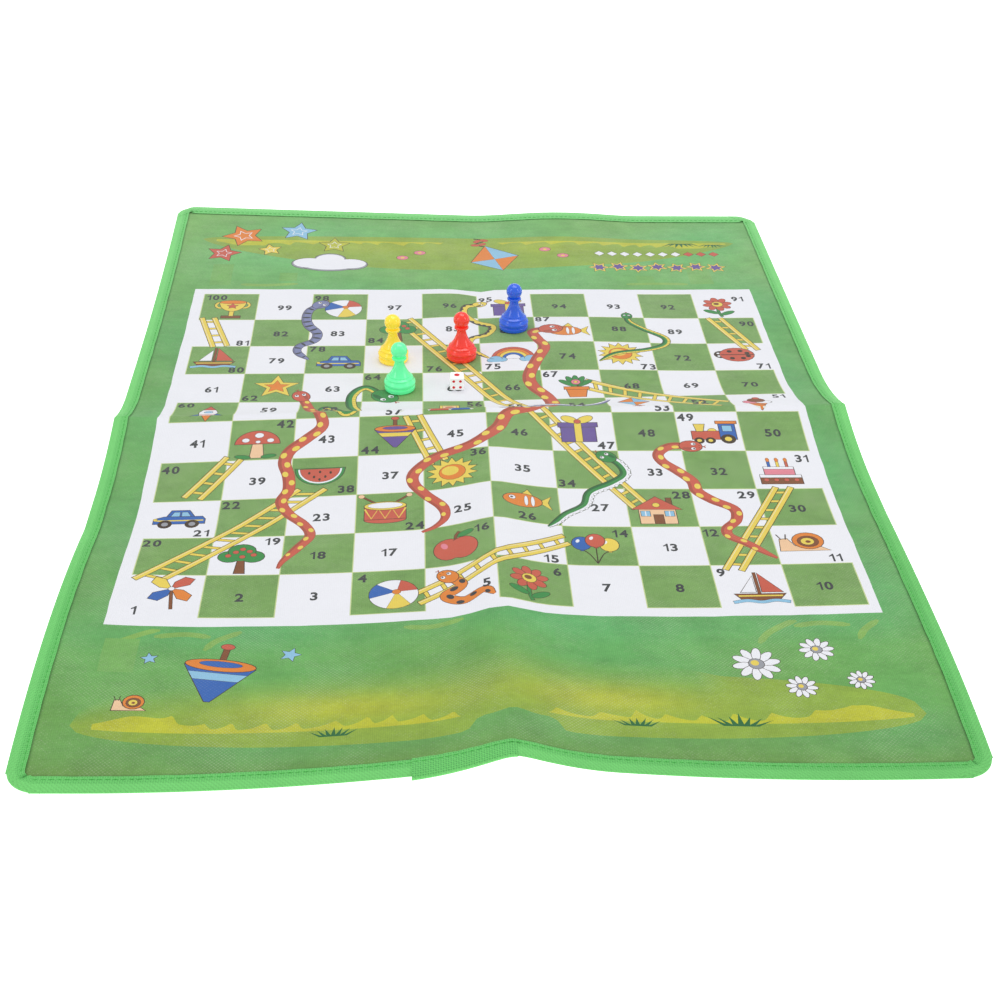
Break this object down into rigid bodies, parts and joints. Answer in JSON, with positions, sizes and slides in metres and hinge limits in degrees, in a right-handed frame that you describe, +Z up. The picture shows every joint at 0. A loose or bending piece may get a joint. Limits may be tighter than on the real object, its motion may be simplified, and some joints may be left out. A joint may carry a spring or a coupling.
{
  "type": "snakes and ladders board",
  "caption": "Folding cloth board for a race game of numbered squares, ladders and snakes, with a bound edge, standing pawns and a die.",
  "frame": {"origin": "middle of the mat's outline, at the level of the table it lies on", "axes": "+X to the player's right, +Y away from the player along the mat's length, +Z up"},
  "size_m": [0.42, 0.6005, 0.0332],
  "materials": {
    "printed_cloth": "non-woven cloth with a printed face",
    "binding_cloth": "non-woven tape with a fine slanting emboss",
    "seam_thread": "twisted sewing thread",
    "yellow_plastic": "glossy moulded",
    "mint_plastic": "glossy moulded",
    "red_plastic": "glossy moulded",
    "blue_plastic": "glossy moulded",
    "die_plastic": "polished white with inked pips"
  },
  "bodies": {
    "far_half": {"mat_far_half": "printed_cloth", "binding_far": "binding_cloth", "seam_far": "seam_thread"},
    "near_half": {"mat_near_half": "printed_cloth", "binding_near": "binding_cloth", "binding_lap": "binding_cloth", "seam_near": "seam_thread"},
    "pawn_yellow": {"pawn_yellow": "yellow_plastic"},
    "pawn_green": {"pawn_green": "mint_plastic"},
    "pawn_red": {"pawn_red": "red_plastic"},
    "pawn_blue": {"pawn_blue": "blue_plastic"},
    "die": {"die": "die_plastic"}
  },
  "joints": [
    {"name": "cross_fold", "type": "hinge", "parent": "far_half", "child": "near_half", "pos_m": [0, 0, -0.00025], "axis": [1, 0, 0], "range_deg": [0, 180]},
    {"name": "yellow_lift", "type": "slide", "parent": "far_half", "child": "pawn_yellow", "axis": [0, 0, 1], "range_m": [0, 0.06]},
    {"name": "green_lift", "type": "slide", "parent": "far_half", "child": "pawn_green", "axis": [0, 0, 1], "range_m": [0, 0.06]},
    {"name": "red_lift", "type": "slide", "parent": "far_half", "child": "pawn_red", "axis": [0, 0, 1], "range_m": [0, 0.06]},
    {"name": "blue_lift", "type": "slide", "parent": "far_half", "child": "pawn_blue", "axis": [0, 0, 1], "range_m": [0, 0.06]},
    {"name": "die_tumble", "type": "hinge", "parent": "far_half", "child": "die", "pos_m": [-0.01083, 0.04526, 0.00198], "axis": [0, 1, 0], "range_deg": [0, 90]}
  ]
}
